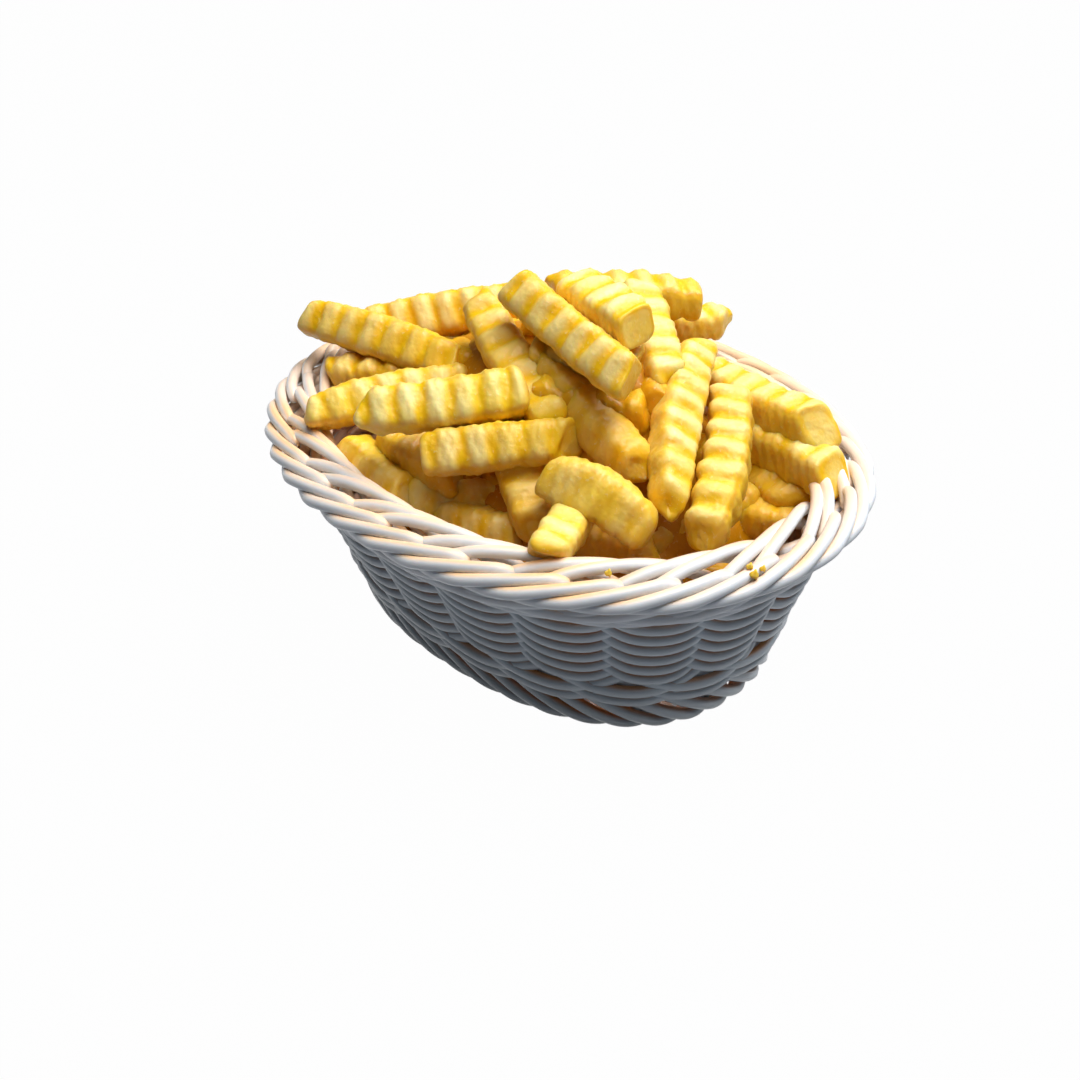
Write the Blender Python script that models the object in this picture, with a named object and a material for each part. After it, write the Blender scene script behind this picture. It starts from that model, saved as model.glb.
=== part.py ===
"""Crinkle-cut fries heaped in an oval basket of woven round cane."""
import math

import bmesh
import bpy
from mathutils import Euler, Matrix, Vector

MM = 0.001

# The rolled border at the top of the basket.
RIM_HALF_LONG = 86.0
RIM_HALF_WIDE = 69.0
RIM_TOP = 58.5
RIM_HALF_BAND = 8.5
RIM_HALF_RISE = 4.5
RIM_SQUARENESS = 2.12
RIM_LOBES = 18
RIM_LOBE_DEPTH = 1.2

# The flared wall between the border and the foot.
WALL_HALF_THICK = 1.9
WALL_RELIEF = 1.0
WALL_ROWS = 5

# The foot border and the floor inside it.
FOOT_HALF_LONG = 61.0
FOOT_HALF_WIDE = 41.0
FOOT_HALF_BAND = 4.0
FOOT_HEIGHT = 7.0
FOOT_SQUARENESS = 2.35
FLOOR_THICK = 3.6

# The gap left between two parts that touch.
GAP = 0.3

# The heap.
FRY_WIDE = 11.8
FRY_THICK = 11.5
RIDGE_PITCH = 7.0
RIDGE_DEPTH = 1.0

# Each fry lies from one end to the other, and is turned about its own length by some degrees.
FRIES = (
    ((-79, -20, 69), (-26, -9, 68), 50),
    ((-70, -10, 65), (-38, 26, 73), 55),
    ((-30, -1, 84), (17, -18, 71), 20),
    ((-11, -4, 94), (34, -10, 86), 45),
    ((-16, 12, 86), (11, 42, 82), 0),
    ((-2, 8, 92), (26, 1, 93.5), 5),
    ((-12, 28, 72), (7, 58, 70), 0),
    ((2, 27, 86), (29, 9, 76), -10),
    ((20, 31, 76), (52, -15, 60), -35),
    ((36, 25, 70), (61, -13, 55), 0),
    ((20, 34, 66), (59, 33, 66), 0),
    ((28, 30, 57), (68, 28, 58), 0),
    ((28, 32, 50), (61, 25, 48), 30),
    ((36, 12, 43), (61, 22, 44), 0),
    ((4, -9, 80), (39, -11, 64), 80),
    ((-19, -47, 72), (6, -18, 76), 45),
    ((-44, -48, 62), (-22, -12, 66), 45),
    ((-4, -43, 64), (22, -16, 68), 50),
    ((-27, -36, 56), (-2, -34, 54), 0),
    ((-35, -43, 54), (-9, -44, 49), 70),
    ((-14, -42, 48), (4, -25, 47), 60),
    ((-5, -38, 44), (19, -30, 43), 70),
    ((-3, -16, 65), (26, -31, 50), 10),
    ((29, -21, 56), (44.5, -48, 60), -14),
    ((25, -30, 65), (52, -21, 56), 60),
    ((30, -23, 46), (46, -12, 45), 0),
    ((-12, -6, 70), (13, -10, 61), 20),
    ((8, -6, 69), (22, 14, 68), 0),
    ((-64, -25, 58), (-40, -8, 60), 0),
    ((42, -14, 45), (47, 22, 46), 0),
    ((-52, 12, 62), (-24, 36, 66), 20),
    ((-40, 32, 57), (-6, 44, 60), 60),
    ((-62, -2, 56), (-52, 28, 55), 10),
    ((-30, 20, 70), (0, 24, 76), 0),
    ((12, 47, 59), (44, 38, 60), 70),
    ((0, -8, 80), (24, 3, 82), 10),
)

# The packed fries under them, from the floor up: height, middle and half sizes of each outline.
CORE = (
    (3.9, (0, 0), 52, 32),
    (20.0, (0, 0), 60, 41),
    (37.0, (-1, 1), 66, 48),
    (47.3, (-5, 5), 64, 46),
    (57.4, (-7, 6), 59, 40),
    (66.6, (-5, 5), 50, 33),
    (75.7, (0, 4), 38, 26),
    (84.2, (5, 3), 24, 15),
)


def oval(angle, half_long, half_wide, squareness):
    """Point of a superellipse in the direction of angle."""
    c = math.cos(angle)
    s = math.sin(angle)
    r = (abs(c) ** squareness + abs(s) ** squareness) ** (-1.0 / squareness)
    return Vector((half_long * r * c, half_wide * r * s))


def outward(angle, half_long, half_wide, squareness):
    """Outward unit normal of the superellipse there."""
    step = 1e-3
    a = oval(angle - step, half_long, half_wide, squareness)
    b = oval(angle + step, half_long, half_wide, squareness)
    t = (b - a).normalized()
    return Vector((t.y, -t.x))


def rim_path(angle):
    """Centre line of the rolled border and its normal."""
    at = (RIM_HALF_LONG - RIM_HALF_BAND, RIM_HALF_WIDE - RIM_HALF_BAND, RIM_SQUARENESS)
    return oval(angle, *at), outward(angle, *at)


def foot_path(angle):
    """Centre line of the foot border and its normal."""
    at = (FOOT_HALF_LONG - FOOT_HALF_BAND, FOOT_HALF_WIDE - FOOT_HALF_BAND, FOOT_SQUARENESS)
    return oval(angle, *at), outward(angle, *at)


def wall_mid(angle, height):
    """Middle of the wall at this height, on the line from the foot border to the rolled border."""
    rim_at, _ = rim_path(angle)
    foot_at, _ = foot_path(angle)
    share = height / (RIM_TOP - RIM_HALF_RISE)
    return foot_at.lerp(rim_at, share), (rim_at - foot_at).length


def new_collection(name, hidden=False):
    group = bpy.data.collections.new(name)
    group.hide_render = hidden
    bpy.context.scene.collection.children.link(group)
    return group


def material(name, colour, roughness, coat=0.0):
    made = bpy.data.materials.new(name)
    made.use_nodes = True
    shader = made.node_tree.nodes["Principled BSDF"]
    shader.inputs["Base Color"].default_value = (*colour, 1.0)
    shader.inputs["Roughness"].default_value = roughness
    shader.inputs["Coat Weight"].default_value = coat
    made.diffuse_color = (*colour, 1.0)
    return made


def solid(name, points, faces, group, look=None):
    """A closed mesh object with its faces turned outwards."""
    mesh = bpy.data.meshes.new(name)
    mesh.from_pydata([Vector(p) * MM for p in points], [], faces)
    work = bmesh.new()
    work.from_mesh(mesh)
    bmesh.ops.recalc_face_normals(work, faces=work.faces)
    work.to_mesh(mesh)
    work.free()
    mesh.set_sharp_from_angle(angle=math.radians(50))
    obj = bpy.data.objects.new(name, mesh)
    group.objects.link(obj)
    if look:
        mesh.materials.append(look)
    return obj


def ring_solid(name, section, around, group, look=None):
    """A closed ring: section(angle) lists the same number of points at every angle."""
    points = []
    faces = []
    for i in range(around):
        points.extend(section(2 * math.pi * i / around))
    count = len(points) // around
    for i in range(around):
        k = (i + 1) % around
        for j in range(count):
            m = (j + 1) % count
            faces.append((i * count + j, k * count + j, k * count + m, i * count + m))
    return solid(name, points, faces, group, look)


def stack_solid(name, level, heights, around, group, look=None):
    """A closed body through stacked outlines: level(angle, step) gives one point of an outline."""
    points = []
    faces = []
    for step in range(heights):
        points.extend(level(2 * math.pi * i / around, step) for i in range(around))
    for step in range(heights - 1):
        for i in range(around):
            k = (i + 1) % around
            a = step * around
            b = a + around
            faces.append((a + i, a + k, b + k, b + i))
    faces.append(tuple(reversed(range(around))))
    top = (heights - 1) * around
    faces.append(tuple(range(top, top + around)))
    return solid(name, points, faces, group, look)


def rim_section(angle, grow=0.0, lobes=1.0):
    """Cut through the rolled border, with slanting swellings where the strands wrap it."""
    centre, normal = rim_path(angle)
    cut = []
    sides = 10
    for j in range(sides):
        turn = 2 * math.pi * (j + 0.5) / sides
        wave = math.cos(RIM_LOBES * angle + 2.0 * turn)
        relief = lobes * RIM_LOBE_DEPTH * 0.5 * (wave - 1.0)
        band = RIM_HALF_BAND + grow + relief
        rise = RIM_HALF_RISE + grow + relief * 0.6
        flat = centre + normal * band * math.cos(turn)
        cut.append((flat.x, flat.y, RIM_TOP - RIM_HALF_RISE + rise * math.sin(turn)))
    return cut


def foot_section(angle, grow=0.0):
    """Cut through the foot border: rounded above, flat where it stands."""
    centre, normal = foot_path(angle)
    wave = 0.5 * (math.cos(RIM_LOBES * angle) - 1.0) * 0.6
    shape = (
        (-0.55, 0.0),
        (0.55, 0.0),
        (1.0, 0.4),
        (0.6, 0.95),
        (-0.6, 1.0),
        (-1.0, 0.4),
    )
    cut = []
    for across, up in shape:
        reach = FOOT_HALF_BAND + grow + (wave if across > 0.9 else 0.0)
        flat = centre + normal * reach * across
        cut.append((flat.x, flat.y, (FOOT_HEIGHT + grow) * up))
    return cut


def wall_section(angle, grow=0.0, relief=1.0):
    """Cut through the wall: stacked swellings outside that sag in the middle of each column."""
    low = FOOT_HEIGHT + GAP
    high = RIM_TOP - 2 * RIM_HALF_RISE - GAP
    _, normal = rim_path(angle)
    column = (RIM_LOBES * angle / (2 * math.pi)) % 1.0
    sag = 0.5 * (1.0 - math.cos(2 * math.pi * column))
    steps = 2 * WALL_ROWS
    cut = []
    for step in range(steps + 1):
        share = step / steps
        height = low + (high - low) * share
        mid, _ = wall_mid(angle, height)
        crest = 0.5 - 0.5 * math.cos(math.pi * step + math.pi * 0.5 * sag)
        bulge = relief * WALL_RELIEF * (crest - 0.5 + 0.6 * sag)
        flat = mid + normal * (WALL_HALF_THICK + grow + bulge)
        cut.append((flat.x, flat.y, height))
    for share in (1.0, 0.0):
        height = low + (high - low) * share
        mid, _ = wall_mid(angle, height)
        flat = mid - normal * (WALL_HALF_THICK + grow)
        cut.append((flat.x, flat.y, height))
    return cut


def floor_plate(name, group, look):
    """The flat floor, an oval outline just inside the foot border."""
    curve = bpy.data.curves.new(name, "CURVE")
    curve.dimensions = "2D"
    curve.fill_mode = "BOTH"
    curve.extrude = 0.5 * FLOOR_THICK * MM
    around = 72
    line = curve.splines.new("POLY")
    line.points.add(around - 1)
    for i in range(around):
        centre, normal = foot_path(2 * math.pi * i / around)
        flat = (centre - normal * (FOOT_HALF_BAND + GAP)) * MM
        line.points[i].co = (flat.x, flat.y, 0.0, 1.0)
    line.use_cyclic_u = True
    curve.materials.append(look)
    obj = bpy.data.objects.new(name, curve)
    obj.location.z = 0.5 * FLOOR_THICK * MM
    group.objects.link(obj)
    return obj


def core_level(angle, step):
    """Outline of the packed fries under the ones on top."""
    height, middle, half_long, half_wide = CORE[step]
    uneven = 1.0 + 0.015 * math.sin(5 * angle + step) + 0.01 * math.sin(11 * angle + 2 * step)
    flat = Vector(middle) + uneven * oval(angle, half_long, half_wide, RIM_SQUARENESS)
    return (flat.x, flat.y, height)


def fry(name, start, end, turn, group):
    """A bar with ridges across two opposite faces and plain cuts on the others, laid along its line."""
    a = Vector(start)
    along = Vector(end) - a
    length = along.length
    steps = max(4, 2 * round(length / RIDGE_PITCH))
    mesh = bpy.data.meshes.new(name)
    work = bmesh.new()
    bmesh.ops.create_cube(work, size=1.0, matrix=Matrix.Diagonal((length, FRY_WIDE, FRY_THICK, 1.0)))
    long_edges = [e for e in work.edges if abs(e.verts[0].co.x - e.verts[1].co.x) > 1.0]
    bmesh.ops.subdivide_edges(work, edges=long_edges, cuts=steps - 1, use_grid_fill=False)
    for vert in work.verts:
        station = round((vert.co.x / length + 0.5) * steps)
        taper = 1.0 - 0.12 * (2.0 * station / steps - 1.0) ** 4
        valley = 0.0 if station % 2 else RIDGE_DEPTH
        vert.co.y *= taper
        vert.co.z = math.copysign(0.5 * FRY_THICK - valley, vert.co.z) * taper
    bmesh.ops.scale(work, vec=(MM, MM, MM), verts=work.verts)
    work.to_mesh(mesh)
    work.free()
    obj = bpy.data.objects.new(name, mesh)
    heading = math.atan2(along.y, along.x)
    tilt = -math.asin(along.z / length)
    obj.location = (a + along * 0.5) * MM
    obj.rotation_euler = Euler((math.radians(turn), tilt, heading))
    obj.display_type = "WIRE"
    group.objects.link(obj)
    return obj


def boolean(obj, other, operation):
    """The many crossing bars need the manifold solver; every mesh here is closed."""
    change = obj.modifiers.new(other.name, "BOOLEAN")
    change.operation = operation
    change.solver = "MANIFOLD"
    change.object = other


for old in list(bpy.data.objects):
    bpy.data.objects.remove(old, do_unlink=True)

portion = new_collection("french_fries_portion")
cutters = new_collection("cutters", hidden=True)

white_cane = material("rim_cane", (0.86, 0.87, 0.88), 0.35, 0.3)
wall_cane = material("wall_cane", (0.82, 0.83, 0.85), 0.4, 0.2)
foot_cane = material("foot_cane", (0.80, 0.81, 0.83), 0.4, 0.2)
floor_cane = material("floor_cane", (0.78, 0.79, 0.80), 0.45, 0.1)
golden = material("golden_fries", (0.86, 0.60, 0.12), 0.5, 0.1)

ring_solid("basket_rim", rim_section, RIM_LOBES * 6, portion, white_cane)
ring_solid("basket_wall", wall_section, RIM_LOBES * 4, portion, wall_cane)
ring_solid("basket_foot", foot_section, RIM_LOBES * 3, portion, foot_cane)
floor_plate("basket_floor", portion, floor_cane)

heap = stack_solid("fries_heap", core_level, len(CORE), 40, portion, golden)
for number, (start, end, turn) in enumerate(FRIES):
    stick = fry(f"fry_{number + 1:02d}", start, end, turn, cutters)
    boolean(heap, stick, "UNION")

rim_room = ring_solid("rim_room", lambda a: rim_section(a, GAP, 0.0), 96, cutters)
wall_room = ring_solid("wall_room", lambda a: wall_section(a, GAP, 0.0), 72, cutters)
for room in (rim_room, wall_room):
    room.display_type = "WIRE"
    boolean(heap, room, "DIFFERENCE")
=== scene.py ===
import math

import bpy
import numpy as np
from mathutils import Matrix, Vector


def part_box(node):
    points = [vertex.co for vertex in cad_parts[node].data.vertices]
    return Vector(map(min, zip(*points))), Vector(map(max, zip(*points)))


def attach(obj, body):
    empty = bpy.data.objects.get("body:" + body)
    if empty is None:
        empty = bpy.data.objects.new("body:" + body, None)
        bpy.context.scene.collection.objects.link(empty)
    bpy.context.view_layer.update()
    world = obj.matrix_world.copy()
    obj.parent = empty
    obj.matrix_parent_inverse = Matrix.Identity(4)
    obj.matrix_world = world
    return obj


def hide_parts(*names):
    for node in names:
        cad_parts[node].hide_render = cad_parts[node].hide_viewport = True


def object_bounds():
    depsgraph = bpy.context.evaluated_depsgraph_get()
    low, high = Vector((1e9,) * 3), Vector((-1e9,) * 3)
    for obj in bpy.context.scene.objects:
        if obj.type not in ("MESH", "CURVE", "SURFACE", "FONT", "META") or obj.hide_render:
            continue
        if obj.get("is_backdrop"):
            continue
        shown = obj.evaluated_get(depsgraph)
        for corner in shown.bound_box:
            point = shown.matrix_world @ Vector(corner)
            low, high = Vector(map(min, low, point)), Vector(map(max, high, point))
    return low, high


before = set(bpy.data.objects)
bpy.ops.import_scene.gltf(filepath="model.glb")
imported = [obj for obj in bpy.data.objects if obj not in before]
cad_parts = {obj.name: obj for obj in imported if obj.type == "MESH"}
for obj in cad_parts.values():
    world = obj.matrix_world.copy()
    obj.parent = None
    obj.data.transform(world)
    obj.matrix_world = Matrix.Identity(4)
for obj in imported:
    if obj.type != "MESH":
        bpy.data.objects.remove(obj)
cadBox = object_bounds()
mm = 0.001
print("frame loaded, nodes:", ", ".join(sorted(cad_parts)))

rimHigh = np.array(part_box("basket_rim")[1]) / mm
footHigh = np.array(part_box("basket_foot")[1]) / mm

# Millimetres, apart from the counts. Square is the ovals' power: 2 is an ellipse, more is squarer.
basket = {
    "columns": 18,
    "rimBand": 8.5,
    "rimRise": 4.5,
    "rimOver": 0.5,
    "rimSquare": 2.12,
    "footBand": 4.0,
    "footSquare": 2.35,
    "wallLean": -0.42,
    "cane": 3.1,
}
caneRadius = basket["cane"] / 2
rimMiddle = rimHigh[2] - basket["rimRise"]
rimHalf = rimHigh[:2] + basket["rimOver"] - basket["rimBand"]
footHalf = footHigh[:2] - basket["footBand"]


# Superellipse: the radius at each angle is (|cos|^n + |sin|^n)^(-1/n), stretched to the two half sizes.
def ovalPoint(angle, half, square):
    c, s = np.cos(angle), np.sin(angle)
    r = (np.abs(c) ** square + np.abs(s) ** square) ** (-1 / square)
    return np.stack([half[0] * r * c, half[1] * r * s], -1)


# Outward normal of the oval: the difference of two close points, turned a quarter to the right.
def ovalNormal(angle, half, square):
    t = ovalPoint(angle + 1e-3, half, square) - ovalPoint(angle - 1e-3, half, square)
    t /= np.linalg.norm(t, axis=-1, keepdims=True)
    return np.stack([t[..., 1], -t[..., 0]], -1)


lapAngle = np.linspace(0, 2 * np.pi, 2881)
lapPoint = ovalPoint(lapAngle, rimHalf, basket["rimSquare"])
lapLength = np.concatenate([[0], np.cumsum(np.linalg.norm(np.diff(lapPoint, axis=0), axis=1))])
columnPitch = lapLength[-1] / basket["columns"]


# Columns counted round the rim turn into an angle: equal counts are equal lengths along the rim.
def columnAngle(column):
    lap = np.floor(column / basket["columns"])
    rest = (column - lap * basket["columns"]) * columnPitch
    return np.interp(rest, lapLength, lapAngle) + 2 * np.pi * lap


# A place on the basket: the straight line from foot to rim at this height, pushed out along the rim's normal.
def basketPoint(column, height, out):
    angle = columnAngle(column)
    share = np.minimum(height / rimMiddle, 1.0)[..., None]
    rimAt = ovalPoint(angle, rimHalf, basket["rimSquare"])
    footAt = ovalPoint(angle, footHalf, basket["footSquare"])
    normal = ovalNormal(angle, rimHalf, basket["rimSquare"])
    flat = footAt * (1 - share) + rimAt * share + normal * out[..., None]
    lean = np.concatenate([normal, basket["wallLean"] * np.ones_like(normal[..., :1])], -1)
    return np.concatenate([flat, height[..., None]], -1), lean


# Smooth curve through a few (share, value) knots: cubic steps with slopes from the neighbouring knots.
def ease(share, knots):
    x = np.array([k[0] for k in knots], float)
    y = np.array([k[1] for k in knots], float)
    slope = np.gradient(y, x)
    i = np.clip(np.searchsorted(x, share, "right") - 1, 0, len(x) - 2)
    w = x[i + 1] - x[i]
    t = np.clip((share - x[i]) / w, 0, 1)
    a = (1 + 2 * t) * (1 - t) ** 2
    b = t * (1 - t) ** 2
    c = t * t * (3 - 2 * t)
    d = t * t * (t - 1)
    return a * y[i] + b * w * slope[i] + c * y[i + 1] + d * w * slope[i + 1]


# One mesh from whole arrays: quads and triangles as index arrays, a bake map, and named point attributes.
def makeMesh(name, points, quads, tris, cornerUv, attributes):
    mesh = bpy.data.meshes.new(name)
    corners = np.concatenate([quads.ravel(), tris.ravel()]).astype(np.int32)
    starts = np.concatenate([np.arange(len(quads)) * 4, len(quads) * 4 + np.arange(len(tris)) * 3])
    mesh.vertices.add(len(points))
    mesh.vertices.foreach_set("co", (points * mm).astype(np.float32).ravel())
    mesh.loops.add(len(corners))
    mesh.loops.foreach_set("vertex_index", corners)
    mesh.polygons.add(len(starts))
    mesh.polygons.foreach_set("loop_start", starts.astype(np.int32))
    mesh.polygons.foreach_set("use_smooth", np.ones(len(starts), bool))
    layer = mesh.uv_layers.new(name="OFBake")
    layer.data.foreach_set("uv", cornerUv.astype(np.float32).ravel())
    for key, values in attributes.items():
        made = mesh.attributes.new(key, "FLOAT", "POINT")
        made.data.foreach_set("value", values.astype(np.float32).ravel())
    mesh.update()
    mesh.validate()
    obj = bpy.data.objects.new(name, mesh)
    bpy.context.scene.collection.objects.link(obj)
    return obj


# Rows of points joined into closed skins: point (i, j) joins (i + 1, j) and (i, j + 1), j runs round and
# wraps, and a pole point closes each end.
def skinMesh(name, rows, poles, attributes, atlas):
    count, along, around = rows.shape[:3]
    size = along * around + 2
    points = np.concatenate([rows.reshape(count, -1, 3), poles], 1).reshape(-1, 3)
    base = (np.arange(count) * size)[:, None, None]
    i = np.arange(along - 1)[None, :, None]
    j = np.arange(around)[None, None, :]
    k = (j + 1) % around
    quads = np.stack([i * around + j, i * around + k, (i + 1) * around + k, (i + 1) * around + j], -1)
    quads = (base[..., None] + quads).reshape(-1, 4)
    j = np.arange(around)[None, :]
    k = (j + 1) % around
    first = np.stack([0 * j + along * around, k, j], -1)
    last = (along - 1) * around
    second = np.stack([0 * j + along * around + 1, last + j, last + k], -1)
    tris = (base + np.concatenate([first, second], 1)).reshape(-1, 3)
    # Each skin has its own strip of the bake map: length to the right, girth upwards.
    columns, lines = atlas
    strip = np.arange(count)
    left, low = (strip // lines) / columns, (strip % lines) / lines
    u = (np.arange(along) + 1.0) / (along + 1)
    v = np.arange(around + 1) / around
    pad = 0.04
    width, height = (1 - pad) / columns, (1 - pad) / lines
    uQuad = np.stack([u[:-1], u[:-1], u[1:], u[1:]], -1)[None, :, None, :]
    vQuad = np.stack([v[:-1], v[1:], v[1:], v[:-1]], -1)[None, None, :, :]
    quadUv = np.stack(np.broadcast_arrays(
        left[:, None, None, None] + width * uQuad, low[:, None, None, None] + height * vQuad), -1)
    vTri = np.stack([0.5 * (v[:-1] + v[1:]), v[1:], v[:-1]], -1)
    uTri = np.array([0.0, u[0], u[0]])
    vEnd = np.stack([0.5 * (v[:-1] + v[1:]), v[:-1], v[1:]], -1)
    uEnd = np.array([1.0, u[-1], u[-1]])
    pairU = np.stack([np.broadcast_to(uTri, vTri.shape), np.broadcast_to(uEnd, vEnd.shape)])
    pairV = np.stack([vTri, vEnd])
    triUv = np.stack(np.broadcast_arrays(
        left[:, None, None, None] + width * pairU, low[:, None, None, None] + height * pairV), -1)
    cornerUv = np.concatenate([quadUv.reshape(-1, 2), triUv.reshape(-1, 2)])
    full = {}
    for key, values in attributes.items():
        ends = np.stack([values[:, 0].mean(-1), values[:, -1].mean(-1)], -1)
        full[key] = np.concatenate([values.reshape(count, -1), ends], 1)
    return makeMesh(name, points, quads, tris, cornerUv, full)


# Tube: a circle carried along each path, square to it, its first point facing the given lean. An open
# tube ends round: within one radius of an end its size is the radius times the root of 1 less the missing
# share squared.
def caneTubes(paths, leans, radius, sides, closed=False):
    if closed:
        along = np.roll(paths, -1, 1) - np.roll(paths, 1, 1)
    else:
        along = np.gradient(paths, axis=1)
    along /= np.linalg.norm(along, axis=-1, keepdims=True)
    lean = leans - (leans * along).sum(-1, keepdims=True) * along
    lean /= np.linalg.norm(lean, axis=-1, keepdims=True)
    side = np.cross(along, lean)
    steps = np.linalg.norm(np.diff(paths, axis=1), axis=-1)
    travel = np.concatenate([np.zeros_like(paths[:, :1, 0]), np.cumsum(steps, 1)], 1)
    size = np.full(travel.shape, float(radius))
    if not closed:
        for gone in (travel, travel[:, -1:] - travel):
            near = np.clip(1 - gone / radius, 0, 1)
            size = size * np.sqrt(np.maximum(1 - near ** 2, 0.02))
    turn = 2 * np.pi * np.arange(sides) / sides
    spoke = (lean[:, :, None] * np.cos(turn)[None, None, :, None]
             + side[:, :, None] * np.sin(turn)[None, None, :, None])
    rows = paths[:, :, None] + spoke * size[:, :, None, None]
    # flank runs from 0 on the side facing the lean to 1 on the far side; the cane materials paint warm
    # reflected light by it.
    flank = np.broadcast_to(0.5 - 0.5 * np.cos(turn), rows.shape[:3])
    return rows, flank


# Joins objects into one, so that each group of tubes can have its own number of samples.
def joinPieces(name, pieces):
    bpy.ops.object.select_all(action="DESELECT")
    for piece in pieces:
        piece.select_set(True)
    bpy.context.view_layer.objects.active = pieces[0]
    bpy.ops.object.join()
    joined = bpy.context.view_layer.objects.active
    joined.name = name
    joined.data.name = name
    return joined


# Shares along a cane, closer together in the last millimetres where its ends are rounded.
def caneShares(samples, endShare):
    tip = np.array([0.0, 0.12, 0.35, 0.65, 1.0]) * endShare
    middle = np.linspace(endShare, 1 - endShare, samples)[1:-1]
    return np.concatenate([tip, middle, 1 - tip[::-1]])


# Canes with two ends, one from each start: column, height and offset are functions of the share along a cane.
def openCanes(name, starts, column, height, out, samples, sides, endShare, radius=caneRadius):
    share = caneShares(samples, endShare)
    rand = np.random.default_rng(len(starts) + samples)
    columns = starts[:, None] + column(share)[None]
    heights = np.broadcast_to(height(share)[None], columns.shape)
    offsets = np.broadcast_to(out(share)[None], columns.shape)
    path, lean = basketPoint(columns, heights, offsets)
    skin, flank = caneTubes(path, lean, radius, sides)
    poles = np.stack([path[:, 0], path[:, -1]], 1)
    shade = np.broadcast_to(rand.random((len(starts), 1, 1)), skin.shape[:3])
    return skinMesh(name, skin, poles, {"flank": flank, "shade": shade}, (1, len(starts)))


# Canes that run right round: the last ring of the tube joins the first, so it has no ends.
def closedCanes(name, path, lean, radius, sides):
    skin, flank = caneTubes(path, lean, radius, sides, True)
    count, along, around = skin.shape[:3]
    points = skin.reshape(-1, 3)
    base = (np.arange(count) * along * around)[:, None, None]
    i = np.arange(along)[None, :, None]
    j = np.arange(around)[None, None, :]
    i2, j2 = (i + 1) % along, (j + 1) % around
    quads = np.stack([i * around + j, i * around + j2, i2 * around + j2, i2 * around + j], -1)
    quads = (base[..., None] + quads).reshape(-1, 4)
    u = np.arange(along + 1) / along
    v = np.arange(around + 1) / around
    low = np.arange(count) / count
    height = 0.96 / count
    uQuad = np.stack([u[:-1], u[:-1], u[1:], u[1:]], -1)[None, :, None, :]
    vQuad = np.stack([v[:-1], v[1:], v[1:], v[:-1]], -1)[None, None, :, :]
    cornerUv = np.stack(np.broadcast_arrays(uQuad, low[:, None, None, None] + height * vQuad), -1)
    shade = np.broadcast_to(np.random.default_rng(count).random((count, 1, 1)), skin.shape[:3])
    empty = np.zeros((0, 3), int)
    return makeMesh(name, points, quads, empty, cornerUv.reshape(-1, 2), {"flank": flank, "shade": shade})


# A node group with one number per input; it returns colours, masks and values only.
def newGroup(name, inputs, outputs):
    tree = bpy.data.node_groups.new(name, "ShaderNodeTree")
    for label, kind, value in inputs:
        socket = tree.interface.new_socket(name=label, in_out="INPUT", socket_type=kind)
        socket.default_value = value
    for label, kind in outputs:
        tree.interface.new_socket(name=label, in_out="OUTPUT", socket_type=kind)
    return tree, tree.nodes.new("NodeGroupInput"), tree.nodes.new("NodeGroupOutput")


# Adds a node, sets its own settings, then the values of its unlinked inputs.
def addNode(tree, kind, settings=None, values=None):
    node = tree.nodes.new(kind)
    for key, value in (settings or {}).items():
        setattr(node, key, value)
    for key, value in (values or {}).items():
        node.inputs[key].default_value = value
    return node


# Maps the range fromLow to fromHigh onto toLow to toHigh, easing at both ends unless the kind is LINEAR.
def mapValue(tree, source, fromLow, fromHigh, toLow=0.0, toHigh=1.0, kind="SMOOTHSTEP"):
    node = addNode(tree, "ShaderNodeMapRange", {"interpolation_type": kind},
                   {"From Min": fromLow, "From Max": fromHigh, "To Min": toLow, "To Max": toHigh})
    tree.links.new(source, node.inputs["Value"])
    return node.outputs["Result"]


# Blends two colours: first x (1 - factor) + second x factor, or the first times the second with MULTIPLY.
def mixColour(tree, factor, first, second, blend="MIX"):
    node = addNode(tree, "ShaderNodeMix", {"data_type": "RGBA", "blend_type": blend})
    for socket, value in ((node.inputs[0], factor), (node.inputs[6], first), (node.inputs[7], second)):
        if isinstance(value, bpy.types.NodeSocket):
            tree.links.new(value, socket)
        elif isinstance(value, tuple):
            socket.default_value = (*value, 1.0)
        else:
            socket.default_value = value
    return node.outputs[2]


# One sum: first operation second, each a socket or a number.
def calc(tree, operation, first, second=0.0):
    node = addNode(tree, "ShaderNodeMath", {"operation": operation})
    for socket, value in zip(node.inputs, (first, second)):
        if isinstance(value, bpy.types.NodeSocket):
            tree.links.new(value, socket)
        else:
            socket.default_value = value
    return node.outputs[0]


# Mottling: three noises of the given size in millimetres, broad, middle and fine.
def mottleGroup():
    outputs = [(label, "NodeSocketFloat") for label in ("Broad", "Middle", "Fine")]
    tree, into, out = newGroup("mottle", [("Size", "NodeSocketFloat", 6.0)], outputs)
    place = addNode(tree, "ShaderNodeTexCoord")
    rate = calc(tree, "DIVIDE", 1000.0, into.outputs["Size"])
    for label, factor, detail in (("Broad", 1.0, 2.0), ("Middle", 4.0, 3.0), ("Fine", 14.0, 3.0)):
        noise = addNode(tree, "ShaderNodeTexNoise", None, {"Detail": detail, "Roughness": 0.55})
        tree.links.new(place.outputs["Object"], noise.inputs["Vector"])
        tree.links.new(calc(tree, "MULTIPLY", rate, factor), noise.inputs["Scale"])
        tree.links.new(noise.outputs["Fac"], out.inputs[label])
    return tree


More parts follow.
